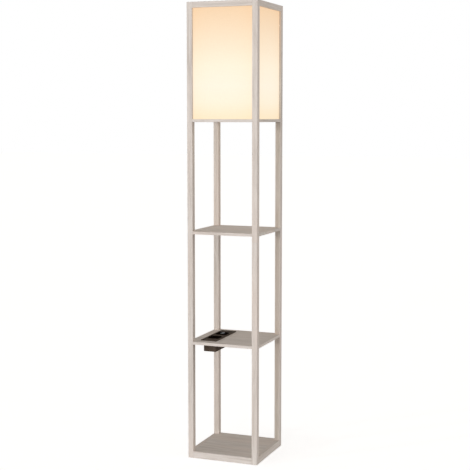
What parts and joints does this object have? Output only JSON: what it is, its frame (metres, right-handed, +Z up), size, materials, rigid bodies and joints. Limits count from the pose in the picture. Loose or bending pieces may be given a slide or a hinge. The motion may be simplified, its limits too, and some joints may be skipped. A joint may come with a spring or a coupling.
{
  "type": "shelf floor lamp",
  "caption": "Square wooden floor lamp with open shelves between posts, a lit fabric shade at the top and a power unit let into the lower shelf.",
  "frame": {"origin": "on the floor, under the middle of the lamp", "axes": "+Z up, -Y towards the front, +X to the right seen from the front"},
  "size_m": [0.26, 0.26, 1.6],
  "materials": {
    "washed_wood": "matte whitewashed grain",
    "dowel_wood": "plain beech",
    "shade_fabric": "linen on a stiff liner",
    "glide_plastic": "matte",
    "plated_steel": "zinc plated",
    "contact_brass": "plain",
    "shaft_brass": "plain",
    "holder_plastic": "moulded",
    "bulb_plastic": "moulded",
    "bulb_diffuser": "frosted",
    "light_board": "white mask",
    "unit_plastic": "fine texture",
    "insert_plastic": "satin",
    "port_plastic": "moulded",
    "circuit_board": "lacquered",
    "dark_screws": "black oxide"
  },
  "bodies": {
    "lamp": {"base_board": "washed_wood", "base_rail_back": "washed_wood", "base_rail_front": "washed_wood", "base_rail_left": "washed_wood", "base_rail_right": "washed_wood", "bulb_cap": "plated_steel", "bulb_globe": "bulb_diffuser", "bulb_housing": "bulb_plastic", "bulb_insulator": "holder_plastic", "bulb_tip": "contact_brass", "centre_contact": "contact_brass", "charger_board": "circuit_board", "charging_insert": "insert_plastic", "cord_gland": "unit_plastic", "crossbar": "plated_steel", "crossbar_screws": "plated_steel", "frame_dowels": "dowel_wood", "glide_pads": "glide_plastic", "light_board": "light_board", "lower_shelf": "washed_wood", "nipple": "plated_steel", "nipple_nut": "plated_steel", "outlet_contacts": "contact_brass", "outlet_insert": "insert_plastic", "port_shells": "plated_steel", "port_tongues": "port_plastic", "post_lower_back_left": "washed_wood", "post_lower_back_right": "washed_wood", "post_lower_front_left": "washed_wood", "post_lower_front_right": "washed_wood", "post_pins": "plated_steel", "post_upper_back_left": "washed_wood", "post_upper_back_right": "washed_wood", "post_upper_front_left": "washed_wood", "post_upper_front_right": "washed_wood", "power_housing": "unit_plastic", "power_plate": "unit_plastic", "screw_shell": "contact_brass", "shade_panel_back": "shade_fabric", "shade_panel_front": "shade_fabric", "shade_panel_left": "shade_fabric", "shade_panel_right": "shade_fabric", "shade_rail_back": "washed_wood", "shade_rail_front": "washed_wood", "shade_rail_left": "washed_wood", "shade_rail_right": "washed_wood", "socket_body": "holder_plastic", "socket_cap": "holder_plastic", "switch_bushing": "plated_steel", "top_rail_back": "washed_wood", "top_rail_front": "washed_wood", "top_rail_left": "washed_wood", "top_rail_right": "washed_wood", "unit_screws": "dark_screws", "upper_shelf": "washed_wood"},
    "switch": {"switch_shaft": "shaft_brass", "switch_knob": "holder_plastic"}
  },
  "joints": [
    {"name": "switch_turn", "type": "hinge", "parent": "lamp", "child": "switch", "pos_m": [0, -0.0235, 1.2255], "axis": [0, -1, 0], "continuous": true}
  ]
}
